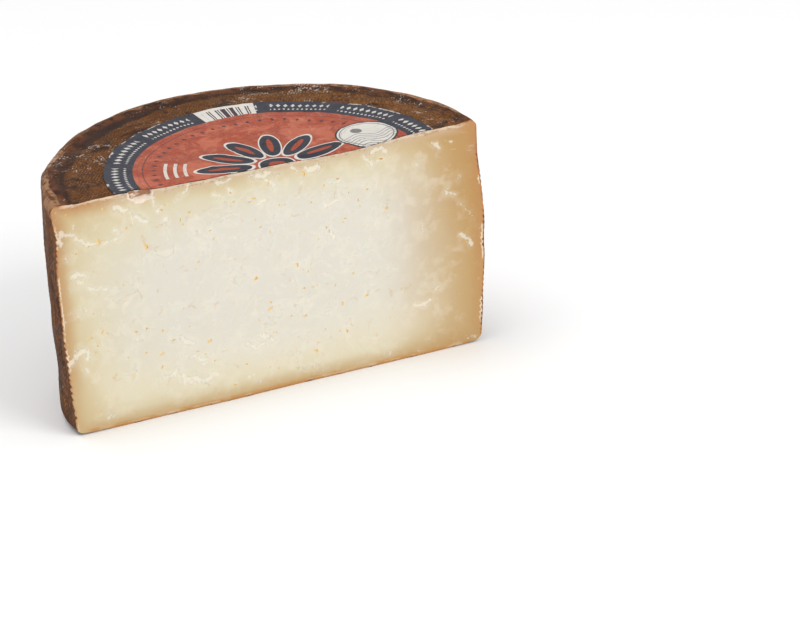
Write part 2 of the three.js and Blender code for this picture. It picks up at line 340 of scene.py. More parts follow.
def cut_depth(x, z):
    """How far behind the flat cut plane the paste stands at a place on the face."""
    torn = smooth(0, 0.4, tear_field(x, z) + 0.5 * crags(x, 0, z, 1.9, 11))
    flakes = torn * (0.13 + 0.12 * crags(x, 0, z, 2.4, 31))
    waves = 0.35 * hills(x, 0, z, 45, 2.4) + 0.08 * crags(x, 0, z, 9, 5) + 0.03 * grain(x, 0, z, 1.7, 8)
    chip = 1 - np.hypot((x - CHIP["x"]) / CHIP["wide"], (z - CHIP["z"]) / CHIP["tall"])
    chipped = smooth(0, 0.5, chip + 0.3 * crags(x, 0, z, 2.4, 47))
    return waves + flakes + crumbled_edge(x, z) + CHIP["depth"] * chipped


def rolled_edge(x, y):
    """How the knife pressed the top down at the cut, as a height that is nought or less."""
    pressed = 0.25 + 0.6 * smooth(6, 20, x) * smooth(56, 40, x)
    return -pressed * smooth(5, 0, y) ** 2


def rind_relief(x, y, z, arc):
    """Ribs, creases and pits of the side, along the arc and up."""
    bend = 1.3 * hills(arc, 0, z, 31, 4.1)
    ribs = 0.13 * np.sin(FULL_TURN * (z + bend) / RIB_PITCH) * smooth(-0.5, 0.3, hills(arc, 0, z, 24, 9.2))
    folds = 0.2 * hills(arc * 1.6, 0, z * 0.55, 13, 6.3)
    creases = -0.5 * smooth(0.5, 0.75, crags(arc * 0.9 + 0.25 * z, 0, z * 0.32, 6, 17))
    pits = -0.45 * smooth(0.45, 0.8, crags(arc, 3, z, 4.6, 29))
    return ribs + folds + creases + pits + 0.09 * crags(x, y, z, 2.8, 41) - 0.1


# Mesh tools


def coordinates(mesh):
    """The x, y and z of a mesh's corners in millimetres in the wheel's own frame."""
    flat = np.empty(len(mesh.vertices) * 3)
    mesh.vertices.foreach_get("co", flat)
    return ((flat.reshape(-1, 3) - np.array(AXIS)) / MM).T


def place(mesh, x, y, z):
    """Puts a mesh's corners at places in millimetres in the wheel's own frame."""
    corners = np.stack([x, y, z], axis=1)
    mesh.vertices.foreach_set("co", (corners * MM + np.array(AXIS)).ravel())
    mesh.update()


def add_object(name, data):
    """A new object in the scene."""
    added = bpy.data.objects.new(name, data)
    bpy.context.scene.collection.objects.link(added)
    return added


def new_object(name, bm, material):
    """A finished bmesh as an object in the scene."""
    mesh = bpy.data.meshes.new(name)
    bm.to_mesh(mesh)
    bm.free()
    mesh.materials.append(material)
    return add_object(name, mesh)


def turned(section, steps):
    """A closed shape of revolution about the wheel's axis, from a section of (radius, height)."""
    bm = bmesh.new()
    corners = [bm.verts.new(AXIS + Vector((r * MM, 0, z * MM))) for r, z in section]
    edges = [bm.edges.new(pair) for pair in zip(corners, corners[1:])]
    bmesh.ops.rotate(bm, verts=corners, cent=AXIS, matrix=Matrix.Rotation(math.pi / steps, 3, "Z"))
    bmesh.ops.spin(
        bm, geom=corners + edges, cent=AXIS, axis=(0, 0, 1), angle=FULL_TURN, steps=steps,
        use_merge=True,
    )
    bmesh.ops.remove_doubles(bm, verts=bm.verts, dist=0.01 * MM)
    bmesh.ops.recalc_face_normals(bm, faces=bm.faces)
    return bm


def cut_away(piece, tool):
    """Takes the tool's volume out of a piece, whose new faces get the tool's material."""
    modifier = piece.modifiers.new("cut", "BOOLEAN")
    modifier.operation, modifier.solver, modifier.object = "DIFFERENCE", "MANIFOLD", tool
    modifier.material_mode = "TRANSFER"
    bpy.context.view_layer.update()
    cut = bpy.data.meshes.new_from_object(piece.evaluated_get(bpy.context.evaluated_depsgraph_get()))
    piece.modifiers.clear()
    piece.data = cut
    bpy.data.objects.remove(tool)


def soften(mesh, degrees):
    """Smooth shading, but for edges where faces meet at more than an angle."""
    mesh.shade_smooth()
    mesh.set_sharp_from_angle(angle=math.radians(degrees))


def write_attribute(mesh, name, values):
    attribute = mesh.attributes.new(name, "FLOAT", "POINT")
    attribute.data.foreach_set("value", np.asarray(values, dtype=np.float32))


def knife_block(material):
    """The half of the wheel that was taken away, as a block with the uneven cut face."""
    sizes = wheel()
    margin, cell = 4, mm(sizes.cut_cell)
    wide, tall = 2 * (mm(sizes.radius) + margin), mm(sizes.height) + 2 * margin
    columns, rows = round(wide / cell), round(tall / cell)
    bm = bmesh.new()
    bmesh.ops.create_grid(bm, x_segments=columns, y_segments=rows, size=0.5)
    bmesh.ops.scale(bm, verts=bm.verts, vec=(wide * MM, tall * MM, 1))
    bmesh.ops.rotate(bm, verts=bm.verts, matrix=Matrix.Rotation(math.pi / 2, 3, "X"))
    bmesh.ops.translate(bm, verts=bm.verts, vec=AXIS + Vector((0, 0, sizes.height / 2)))
    rim = [edge for edge in bm.edges if edge.is_boundary]
    walls = bmesh.ops.extrude_edge_only(bm, edges=rim)["geom"]
    back = [part for part in walls if isinstance(part, bmesh.types.BMVert)]
    bmesh.ops.translate(bm, verts=back, vec=(0, -sizes.radius - margin * MM, 0))
    bmesh.ops.holes_fill(bm, edges=[edge for edge in bm.edges if edge.is_boundary], sides=0)
    bmesh.ops.recalc_face_normals(bm, faces=bm.faces)
    block = new_object("knife_block", bm, material)
    x, y, z = coordinates(block.data)
    face = y > -1
    y[face] = cut_depth(x[face], z[face])
    place(block.data, x, y, z)
    return block


def eye_places():
    """The openings of the cut face, as x, z and radius, the scattered ones clear of the rest."""
    draw = np.random.default_rng(7)
    eyes = list(MAIN_EYES)
    half, height = 0.92 * mm(wheel().radius), mm(wheel().height)
    while len(eyes) < len(MAIN_EYES) + wheel().eye_count:
        x, z = draw.uniform(-half, half), draw.uniform(0.06, 0.94) * height
        radius = 0.3 + 0.4 * draw.random() ** 2
        if all(math.hypot(x - eye[0], z - eye[1]) > 1.6 * (radius + eye[2]) + 1 for eye in eyes):
            eyes.append((x, z, radius))
    return eyes


def eye_blobs(material):
    """The openings as small closed lumps across the cut face, each a bent and ragged slit."""
    draw = np.random.default_rng(19)
    bm = bmesh.new()
    for x, z, radius in eye_places():
        blob = bmesh.ops.create_icosphere(bm, subdivisions=3, radius=1)["verts"]
        stretch, tilt, bow = draw.uniform(0.8, 1.7), draw.uniform(-1.5, 1.5), draw.uniform(-0.6, 0.6)
        shape = Matrix.Rotation(tilt, 4, "Y") @ Matrix.Diagonal((stretch, 0.52, 0.72, 1))
        for corner in blob:
            across, deep, up = corner.co * 1.1
            corner.co *= 1 + 0.75 * float(crags(across + x, deep, up + z, 1.0, 3))
            corner.co.z += bow * (corner.co.x**2 - 0.4)
        depth = float(cut_depth(np.array(float(x)), np.array(float(z)))) + 0.02 * radius
        bmesh.ops.transform(bm, verts=blob, matrix=Matrix.Scale(radius * MM, 4) @ shape)
        bmesh.ops.translate(bm, verts=blob, vec=AXIS + Vector((x, depth, z)) * MM)
    return new_object("eye_blobs", bm, material)


def quarter_arc(centre_r, centre_z, radius, start):
    """Six points on a quarter of a circle, the one at its end left out."""
    turns = [start + math.pi / 2 * i / 6 for i in range(6)]
    return [(centre_r + radius * math.cos(turn), centre_z + radius * math.sin(turn)) for turn in turns]


def steps_along(start, end, cell):
    """Even steps of about one size from a start towards an end that is left out."""
    count = max(1, round(abs(end - start) / cell))
    return [start + (end - start) * i / count for i in range(count)]


def wheel_section():
    """The half section of the wheel from the middle of the base round to the middle of the top."""
    sizes = wheel()
    cell, foot, shoulder = mm(sizes.rind_cell), mm(sizes.foot), mm(sizes.shoulder)
    flat, lift, under_label = mm(sizes.flat_radius), mm(sizes.foot_lift), 66
    base_cell, foot_cell, label_cell = 12, 4, 6
    low, high = foot + lift, mm(sizes.height) - shoulder
    foot_r, shoulder_r = float(side_radius(low)) - foot, float(side_radius(high)) - shoulder
    points = [(r, 0) for r in steps_along(0, flat, base_cell)]
    points += [(r, lift * (r - flat) / (foot_r - flat)) for r in steps_along(flat, foot_r, foot_cell)]
    points += quarter_arc(foot_r, low, foot, -math.pi / 2)
    points += [(float(side_radius(z)), z) for z in steps_along(low, high, cell)]
    points += quarter_arc(shoulder_r, high, shoulder, 0)
    rim, middle = steps_along(shoulder_r, under_label, cell), steps_along(under_label, 0, label_cell)
    return points + [(r, float(top_profile(r))) for r in rim + middle + [0]]


def uneven_wheel(mesh):
    """Gives the turned wheel its lumps, creases and pits."""
    x, y, z = coordinates(mesh)
    r = np.hypot(x, y)
    top = mm(wheel().height)
    on_top = smooth(top - 14, top - 4, z)
    outside = smooth(70, 90, r)
    arc = np.arctan2(y, x) * mm(wheel().radius)
    pressed = (0.22 * crags(x, y, 0, 7, 61) - 0.1) * smooth(71, 78, r)
    pressed -= ring_depth(RIM_CREASE, r) * smooth(-0.1, 0.4, hills(x, y, 0, 33, 5.5))
    up = z + (top_lumps(x, y) + pressed + rolled_edge(x, y)) * on_top
    lifted = side_lumps(x, y, up) * outside
    rough = rind_relief(x, y, z, arc) * smooth(0.5, 5, z) * smooth(top - 1, top - 6, z)
    knocked = (0.65 * crags(x, y, 0.4 * z, 19, 83) - 0.3) * smooth(top - 26, top - 6, z)
    wider = 1 + (lifted + (rough + knocked) * outside) / np.maximum(r, 1)
    place(mesh, x * wider, y * wider, up)


def finish_cheese(mesh):
    """Writes what the paste's material reads: depth under the rind, dryness, tears and pits."""
    x, y, z = coordinates(mesh)
    side = np.maximum(side_radius(z) + side_lumps(x, y, z) - np.hypot(x, y), 0.01)
    over = np.maximum(top_profile(np.hypot(x, y)) + top_lumps(x, y) - z, 0.01)
    under = np.maximum(z, 0.01)
    write_attribute(mesh, "under_rind", np.minimum(np.minimum(side, over), under))
    write_attribute(mesh, "dry_depth", 1 / (1 / side + 1 / (1.5 * over) + 1 / (1.4 * under)))
    write_attribute(mesh, "torn", tear_field(x, z))
    paste = np.ones(len(x), dtype=bool)
    for polygon in mesh.polygons:
        if polygon.material_index == 0:
            paste[list(polygon.vertices)] = False
    write_attribute(mesh, "pit", smooth(0.04, 0.2, y - cut_depth(x, z)) * paste)


# Material tools


def feed(node, inputs):
    """Links fields to a node's inputs, given by name or number, or sets plain values on them."""
    for key, value in inputs.items():
        if isinstance(value, Field):
            node.id_data.links.new(value.socket, node.inputs[key])
        else:
            node.inputs[key].default_value = value


def add_node(tree, kind, inputs, output=0, **settings):
    """The field that one output of a new shader node gives, once it is set up and fed."""
    node = tree.nodes.new("ShaderNode" + kind)
    for name, value in settings.items():
        setattr(node, name, value)
    feed(node, inputs)
    return Field(tree, node.outputs[output])


class Field:
    """A value that varies over a surface: a shader node's output, with arithmetic on it."""

    def __init__(self, tree, socket):
        self.tree, self.socket = tree, socket

    def math(self, operation, *others):
        inputs = dict(enumerate((self, *others)))
        return add_node(self.tree, "Math", inputs, operation=operation)

    def __add__(self, other):
        return self.math("ADD", other)

    def __sub__(self, other):
        return self.math("SUBTRACT", other)

    def __mul__(self, other):
        return self.math("MULTIPLY", other)

    def __truediv__(self, other):
        return self.math("DIVIDE", other)

    def __neg__(self):
        return self.math("MULTIPLY", -1)

    def __rsub__(self, other):
        return -self + other

    __radd__, __rmul__ = __add__, __mul__

    def ramp(self, low, high, least=0.0, most=1.0):
        """A smooth rise from least at low to most at high."""
        inputs = dict(enumerate((self, low, high, least, most)))
        return add_node(self.tree, "MapRange", inputs, interpolation_type="SMOOTHSTEP")

    def sine(self):
        return self.math("SINE")

    def size(self):
        return self.math("ABSOLUTE")

    def fraction(self):
        return self.math("FRACT")

    def whole(self):
        return self.math("FLOOR")


def both(first, *others):
    """The least of two or more masks."""
    for other in others:
        first = first.math("MINIMUM", other)
    return first


def either(first, *others):
    """The greatest of two or more masks."""
    for other in others:
        first = first.math("MAXIMUM", other)
    return first


def distance(x, y):
    return (x * x + y * y).math("SQRT")


class Surface:
    """Places on a surface in millimetres in the wheel's own frame, and patterns made from them."""

    def __init__(self, tree):
        self.tree = tree
        where = add_node(tree, "TexCoord", {}, "Object")
        scaled = {"Vector": where, "Location": -AXIS / MM, "Scale": (1 / MM,) * 3}
        self.place = add_node(tree, "Mapping", scaled)
        self.x, self.y, self.z = (add_node(tree, "SeparateXYZ", {0: self.place}, axis) for axis in "XYZ")
        self.r = distance(self.x, self.y)
        self.arc = self.y.math("ARCTAN2", self.x) * WIDEST

    def at(self, x, y, z=0.0):
        """A place made of three fields or numbers."""
        return add_node(self.tree, "CombineXYZ", {"X": x, "Y": y, "Z": z})

    def noise(self, size, detail=3.0, where=None, rough=0.55, bend=0.0):
        """Cloudy noise between 0 and 1 with lumps of about one size in millimetres."""
        inputs = {
            "Vector": where or self.place, "Scale": 1 / size, "Detail": detail, "Roughness": rough,
            "Distortion": bend,
        }
        return add_node(self.tree, "TexNoise", inputs, "Fac")

    def cell_edges(self, size, where):
        """Distance from the edges between scattered cells, in cell sizes."""
        inputs = {"Vector": where, "Scale": 1 / size}
        return add_node(self.tree, "TexVoronoi", inputs, "Distance", feature="DISTANCE_TO_EDGE")

    def weave(self, across, along, favour):
        """Threads of a plain weave that stand out, the first set more than the second by favour."""
        first, second = (across * math.pi).sine(), (along * math.pi).sine()
        over = first * second
        tight, loose = first.size(), second.size()
        warp = tight * loose.math("POWER", 0.35) * over.ramp(-0.2, 0.2)
        weft = loose * tight.math("POWER", 0.35) * over.ramp(0.2, -0.2)
        return warp * favour + weft * (1 - favour)

    def dashes(self, across, along):
        """Rows of raised dashes of uneven height, each row's shifted against the next one's."""
        row = across.whole()
        shifted = along + row * 0.5 + (row * 12.9).sine() * 0.22
        ends = (shifted.fraction() * math.pi).sine().math("POWER", 0.6)
        cell = {"Vector": self.at(row, shifted.whole())}
        height = add_node(self.tree, "TexWhiteNoise", cell, "Value").ramp(0, 1, 0.4, 1)
        return (across.fraction() * math.pi).sine() * ends * height

    def attribute(self, name):
        return add_node(self.tree, "Attribute", {}, "Fac", attribute_name=name)

    def layers(self, ground, *coats):
        """Coats of (mask, colour) over a ground colour."""
        for mask, tone in coats:
            inputs = {"Factor": mask, "A": ground, "B": tone}
            ground = add_node(self.tree, "Mix", inputs, "Result", data_type="RGBA")
        return ground

    def bump(self, height, millimetres):
        """Bump from a height field between about 0 and 1, that many millimetres high."""
        inputs = {"Distance": millimetres * MM, "Height": height}
        return add_node(self.tree, "Bump", inputs, "Normal")


def new_material(name):
    """A material with one Principled shader, its surface fields and that shader."""
    material = bpy.data.materials.new(name)
    material.use_nodes = True
    tree = material.node_tree
    return material, Surface(tree), tree.nodes["Principled BSDF"]


def torn_paste(s, colours, dry, top):
    """Torn, flaked and cracked places of the paste: their coats, and their height for the bump."""
    torn, fine, ragged = s.attribute("torn"), s.noise(1.3, 3), s.noise(2.1, 6, rough=0.75)
    broken = (torn + (ragged - 0.5) * 4.2 - s.noise(4.5, 2) * 0.4).ramp(0.0, 0.35)
    halo = (torn + (s.noise(3, 4) - 0.5) * 2.5).ramp(-1.4, 0.2)
    angular = s.noise(2.6, 5, rough=0.62, bend=1.2)
    flecks = both(angular.ramp(0.6, 0.64), s.noise(15, 3).ramp(0.46, 0.6))
    terraces = (s.noise(17, 5, rough=0.6, bend=0.7) * 6).fraction()
    inner = dry.ramp(7, 15) * s.x.ramp(70, 40)
    shelves = both(terraces.ramp(0.55, 0.0), s.noise(19, 3).ramp(0.46, 0.58)) * inner
    cracks_and_painted_shade = s.cell_edges(8.5, s.at(s.x + angular * 6, 0, s.z + fine * 3))
    cracks_and_painted_shade = both(cracks_and_painted_shade.ramp(0.024, 0.008), s.noise(6, 3).ramp(0.56, 0.64)) * (1 - top * 0.5)
    coats = (
        (shelves * 0.26, colours.torn),
        (flecks * (0.06 + inner * 0.34), colours.torn),
        # Painted shade: a yellow tint along the cracks, standing in for the shade inside them
        (cracks_and_painted_shade * 0.5, srgb(222, 186, 128)),
        (halo * dry.ramp(1, 8, 0.03, 0.22), colours.torn),
        (broken * 0.6, colours.torn),
        (both(broken, s.noise(1.6, 3).ramp(0.56, 0.62)) * 0.3, colours.tan),
    )
    height = fine * 0.3 + s.noise(4.5, 4) * 0.3 + shelves * 0.4 + broken * 0.5 + flecks * 0.3 - cracks_and_painted_shade * 0.3
    return coats, height


def crumbled_lip(s, depth, lip_zone):
    """Coats of the lip under the top rind, bronze and pale, and of the chip under the label."""
    crumbs = depth + (s.noise(1.5, 4) - 0.5) * 1.6 + (s.noise(9, 3) - 0.5) * 4
    bronze = both(s.z.ramp(97.5, 99), crumbs.ramp(2.6, 1.2), s.noise(3.6, 4).ramp(0.53, 0.6))
    lip = both(crumbs.ramp(1.5, 0.9), lip_zone)
    dashed = s.noise(1, 4, s.at(s.x / 3.2, s.y / 2, s.z / 0.8))
    bowl = distance((s.x - CHIP["x"]) / CHIP["wide"], (s.z - CHIP["z"]) / CHIP["tall"])
    bowl = bowl + (s.noise(2.5, 4) - 0.5) * 0.5
    rusty = both(bowl.ramp(0.9, 0.74), s.z.ramp(97.8, 98.8)) * dashed.ramp(0.38, 0.5)
    return (
        (bronze * 0.6, srgb(176, 130, 84)),
        (lip * 0.7, srgb(220, 202, 180)),
        (both(lip, dashed.ramp(0.54, 0.6)) * 0.6, srgb(166, 120, 84)),
        (bowl.ramp(1.02, 0.9) * 0.9, srgb(236, 220, 203)),
        # Painted shade: darker inside the chip's hollow
        (bowl.ramp(0.85, 0.55) * 0.5, srgb(214, 188, 170)),
        (rusty * 0.9, srgb(146, 92, 46)),
    )


def rind_edge(s, depth, top, low, lip_zone):
    """Coats of the rind's edge in the cut face: a notched orange margin, a pale and a dark line."""
    saw = (((s.z + s.x * 0.8) / RIB_PITCH + s.noise(9)).fraction() - 0.5).size()
    notched = s.noise(11, 2).ramp(0.42, 0.58) * (1 - top) * (1 - low)
    rim = depth - saw.ramp(0.1, 0.5) * 0.55 * notched - (s.noise(1.3, 4, rough=0.65) - 0.5) * 1.5
    orange = rim.ramp(1.3, 0.3) * (0.5 + s.z.ramp(40, 85) * 0.4) * (1 - lip_zone)
    pale = both((rim - 1.0).size().ramp(0.4, 0.25), s.noise(14, 3).ramp(0.48, 0.54)) * (1 - top)
    dark = rim.ramp(0.42, 0.25) * (1 - lip_zone) * (1 - low * s.noise(7, 3).ramp(0.6, 0.5))
    return (
        (orange, srgb(174, 108, 50)),
        (pale * (0.8 - low * 0.5), srgb(232, 216, 188)),
        (dark, srgb(96, 56, 32)),
    )


def paste_material(colours):
    """Cut paste: ivory in the middle, creamier and browner towards the rind, paler where torn."""
    material, s, shader = new_material("cut_paste")
    depth = s.attribute("under_rind")
    top, low = s.z.ramp(88, 97), s.z.ramp(9, 3)
    mid_top = both(top, s.x.ramp(-80, -58), s.x.ramp(92, 74))
    corner = both(s.x.ramp(-58, -92), s.z.ramp(74, 98))
    lip_zone = both(s.z.ramp(97, 98.5), s.x.ramp(-94, -90), s.x.ramp(90, 84))
    # Drier towards the right end, which with the amber coat partly stands for painted shade there
    dry = s.attribute("dry_depth") + (s.noise(26, 2) - 0.5) * 6 - s.x.ramp(45, 92) * 4 - corner * 2
    drying_and_painted_shade = (s.x + (s.noise(18, 3) - 0.5) * 12).ramp(40, 97)
    browning = s.z.ramp(8, 42, 0.3, 0.68) - mid_top * 0.56 + corner * 0.24
    base_line = both((s.z + (s.noise(3, 3) - 0.5) * 1.2).ramp(2.4, 1.5), s.x.size().ramp(90, 86))
    torn_coats, height = torn_paste(s, colours, dry, top)
    tone = s.layers(
        colours.core,
        (dry.ramp(21, 6.5), colours.cream),
        (dry.ramp(11, 0), colours.tan),
        # Painted light: paler paste low on the face, standing in for light bounced up from the floor
        (both(s.z.ramp(4, 9), s.z.ramp(36, 14), dry.ramp(4, 11)) * 0.28, srgb(240, 231, 206)),
        # Amber towards the right end: partly drier paste, partly painted shade with warm reflected light
        (drying_and_painted_shade * s.z.ramp(20, 85, 0.6, 0.84), colours.amber),
        (depth.ramp(8, 0.4) * browning, colours.edge),
        (both(depth.ramp(6, 0.5), mid_top) * 0.55, srgb(205, 185, 162)),
        *torn_coats,
        *crumbled_lip(s, depth, lip_zone),
        (base_line * low * 0.75, srgb(200, 150, 86)),
        (both(base_line, s.noise(22, 2).ramp(0.5, 0.6)) * 0.35, srgb(228, 208, 170)),
        (s.attribute("pit") * 0.9, colours.eye),
        *rind_edge(s, depth, top, low, lip_zone),
    )
    feed(shader, {
        "Base Color": tone,
        "Roughness": s.noise(4).ramp(0.3, 0.7, 0.42, 0.58),
        "Subsurface Weight": 0.35,
        "Subsurface Radius": (1.0, 0.7, 0.4),
        "Subsurface Scale": 3 * MM,
        "Specular IOR Level": 0.4,
        "Normal": s.bump(height, 0.16),
    })
    return material


def press_cloth(s, flat, bend):
    """Threads that the press cloth raised, dashes on the side and a weave on top, and their grit."""
    jitter, turn = (s.noise(2.3, 3) - 0.5) * 1.7, 0.19
    across = s.x * math.cos(turn) + s.y * math.sin(turn) + bend + jitter
    along = s.y * math.cos(turn) - s.x * math.sin(turn) + bend - jitter
    favour = s.noise(11, 2).ramp(0.4, 0.6)
    top_cloth = s.weave(across / TOP_THREAD_PITCH, along / TOP_THREAD_PITCH, favour)
    round_way = s.arc + bend * 0.8 + jitter * 0.5
    up_way = s.z + s.arc * 0.12 + bend * 0.7
    upright = s.dashes(round_way / THREAD_PITCH, up_way / DASH_LENGTH)
    level = s.dashes(up_way / THREAD_PITCH, round_way / DASH_LENGTH)
    zone = s.noise(27, 3).ramp(0.49, 0.52)
    side_cloth = upright * zone + level * (1 - zone)
    grit = s.noise(1, 4, s.at(across / 0.7, along / 1.6, s.z / 1.2), rough=0.6)
    lengthwise = s.noise(1, 5, s.at(across / 0.8, along / 4, s.z / 2), rough=0.7)
    crosswise = s.noise(1, 5, s.at(across / 4, along / 0.8, s.z / 2), rough=0.7)
    streaks = lengthwise * favour + crosswise * (1 - favour)
    matted = s.noise(14, 4, rough=0.6).ramp(0.44, 0.58)
    threads = (side_cloth * (1 - flat) + top_cloth * flat) * grit.ramp(0.3, 0.62, 0.25, 1)
    return threads * (1 - matted * 0.55) + streaks.ramp(0.4, 0.66) * matted * 0.5, grit


def worn_places(s, colours, side, drawn):
    """Where the rind is worn, along the rim and in bare patches: the mask and its coats."""
    rim = both(s.r.ramp(89.5, 92.5), s.z.ramp(96, 99.5))
    wear = rim + (drawn - 0.5) * 3 + (s.noise(11, 4) - 0.5) * 2
    patches = (s.noise(17, 5, rough=0.6) + s.z.ramp(84, 99) * 0.17).ramp(0.66, 0.71)
    worn = either(both(wear.ramp(0.3, 0.85), rim.ramp(0, 0.3)), both(s.z.ramp(84, 94), patches, side))
    return worn, (
        (worn * 0.85, colours.worn),
        (both(worn, s.noise(4, 6, rough=0.68).ramp(0.52, 0.42)) * 0.7, srgb(112, 68, 42)),
        (both(worn, drawn.ramp(0.52, 0.44)) * 0.7, colours.brown),
        (both(worn, s.noise(2.6, 5, rough=0.65).ramp(0.53, 0.58)) * 0.6, colours.dark),
    )


def mouldy_places(s, colours, threads, dark_strip_with_painted_shade):
    """Coats of the white mould on raised threads and of fine dust, left off the dark strip by the cut,
    which is partly painted shade.
    """
    raised = both(threads.ramp(0.2, 0.45), s.noise(1.5, 3).ramp(0.44, 0.54))
    mould = both(raised, (s.noise(7, 6, rough=0.7) + s.noise(32, 2) * 0.6).ramp(0.87, 0.94))
    dust = both(s.noise(1.1, 3).ramp(0.62, 0.7), s.noise(15, 3).ramp(0.54, 0.62))
    return (mould * (1 - dark_strip_with_painted_shade) * 0.85, colours.mould), (dust * (1 - dark_strip_with_painted_shade) * 0.3, colours.mould)


def rind_material(colours):
    """Dry brown rind: threads of the press cloth stand out ochre, with dark and mouldy places."""
    material, s, shader = new_material("dry_rind")
    flat = both(s.z.ramp(98.6, 100.4), s.r.ramp(95, 92))
    side = 1 - flat
    clouds = s.noise(12, 4, rough=0.6)
    bend, clear = (clouds - 0.5) * 8, clouds.ramp(0.34, 0.6)
    threads, grit = press_cloth(s, flat, bend)
    golden = either(s.x.ramp(-40, 70) * flat, s.noise(23, 3).ramp(0.42, 0.62) * side)
    amber = s.noise(9, 4, bend=0.5).ramp(0.4, 0.62)
    dark = s.noise(10, 6, rough=0.62, bend=0.4).ramp(0.55, 0.62)
    drawn = s.noise(1, 5, s.at(s.arc / 22, s.r / 3.2, s.z / 3.2), rough=0.64)
    furrows = s.noise(1, 5, s.at((s.arc + bend * 0.5) / 2.4, 0, s.z / 15), rough=0.62)
    furrowed = both(side, s.y.ramp(60, 25))
    worn, worn_coats = worn_places(s, colours, side, drawn)
    ring = both(s.r.ramp(80, 89), flat)
    gloom = both(s.x.ramp(10, -45), s.y.ramp(35, 65)) * 0.5 - s.x.ramp(20, 70) * 0.2
    purple = (ring + gloom + (drawn - 0.5) * 1.8 + (s.noise(9, 3) - 0.5) * 1.2).ramp(0.4, 0.8)
    # The left side by the cut is darker: partly the rind's own darker colour, partly painted shade
    dark_strip_and_painted_shade = both(s.y.ramp(34, 6), s.x.ramp(-80, -90), side) * s.noise(6, 4).ramp(0.34, 0.5)
    rusty = both(s.r.ramp(86, 90), s.z.ramp(93, 97)) * s.noise(5, 4).ramp(0.4, 0.6)
    lip_place = (s.y + (s.noise(1.7, 3) - 0.5) * 2.4).ramp(0.6, 0.2)
    cut_lip = lip_place * s.noise(7, 3).ramp(0.36, 0.56)
    tone = s.layers(
        colours.brown,
        (amber * (0.85 - flat * 0.35), srgb(134, 82, 36)),
        (threads.ramp(0.4, 0.0) * (0.72 - flat * 0.2), colours.dark),
        (both(threads.ramp(0.25, 0.75), clear) * (1 - flat * 0.15), colours.ochre),
        (both(golden, grit.ramp(0.45, 0.65)) * 0.4 * flat, colours.ochre),
        (both(golden, clear, threads.ramp(0.45, 0.9)) * side * 0.7, srgb(200, 152, 84)),
        (dark * 0.85, colours.plum),
        (purple * 0.85, colours.plum),
        # Painted shade, with the rind's own darker colour, on the left side by the cut
        (dark_strip_and_painted_shade * 0.5, srgb(76, 44, 26)),
        (both(side, s.y.ramp(16, 3), s.noise(2.4, 4).ramp(0.53, 0.6)) * 0.55, srgb(150, 88, 44)),
        (both(furrowed, furrows.ramp(0.46, 0.36)) * 0.7, colours.dark),
        (both(furrowed, furrows.ramp(0.56, 0.66)) * 0.6, srgb(146, 96, 56)),
        (rusty * 0.6, srgb(124, 72, 42)),
        *worn_coats,
        *mouldy_places(s, colours, threads, dark_strip_and_painted_shade),
        (cut_lip * flat * 0.75, srgb(206, 176, 146)),
        (both(lip_place, s.noise(1.3, 3).ramp(0.5, 0.56)) * 0.6, srgb(150, 92, 48)),
    )
    relief = threads * (1 - worn * 0.8) * 0.7 + s.noise(2.5, 5) * 0.6 + drawn * 0.6
    feed(shader, {
        "Base Color": tone,
        "Roughness": clear.ramp(0, 1, 0.8, 0.64),
        "Specular IOR Level": 0.15,
        "Normal": s.bump(relief + both(furrowed, furrows) * 0.9, 0.5),
    })
    return material


def ring_mask(r, middle, half_width):
    """A mask of a thin line round a middle."""
    return (r - middle).size().ramp(half_width + 0.08, half_width - 0.08)


def between(value, low, high, edge):
    """A mask of the values between two limits."""
    return both(value.ramp(low, low + edge), value.ramp(high, high - edge))


def repeated(degrees, step, radius):
    """Place round the label within one of many equal steps, in millimetres from the step's middle."""
    return ((degrees / step).fraction() - 0.5) * (math.radians(step) * radius)


def diamonds(degrees, r, step, radius, half_x, half_y):
    """A mask of a ring of small diamonds, one in each step."""
    across = repeated(degrees, step, radius)
    return (across.size() / half_x + (r - radius).size() / half_y).ramp(1.06, 0.94)


def flower(degrees, r):
    """Twelve petals round a hub: masks of their outlines, their fill and their veins."""
    across = repeated(degrees, 30, 1) * r
    petal = distance(across / 4.3, (r - PETAL_RING) / 11.6)
    vein = distance(across / 1.3, (r - PETAL_RING) / 6.8)
    outline = either(petal.ramp(1.12, 1.09), r.ramp(8.2, 8.0))
    fill = either(petal.ramp(1.0, 0.97), r.ramp(7.4, 7.2))
    return outline, fill, either(vein.ramp(1.0, 0.96), r.ramp(3.8, 3.6))


def round_field(x, y):
    """Furrows under a sun in a round field: masks of its edge, its ground and the drawing."""
    x, y = x - FIELD["x"], y - FIELD["y"]
    r = distance(x, y)
    hill = y + (x * 0.42).sine() * 1.6
    furrows = both((hill * 0.45).fraction().ramp(0.24, 0.18), hill.ramp(0.6, 0.3))
    sun = distance(x + 2.5, y - 5.2).ramp(2.6, 2.4)
    ground = r.ramp(12.6, 12.4)
    return r.ramp(13.4, 13.2), ground, both(ground, either(furrows, sun, ring_mask(r, 11.4, 0.25)))


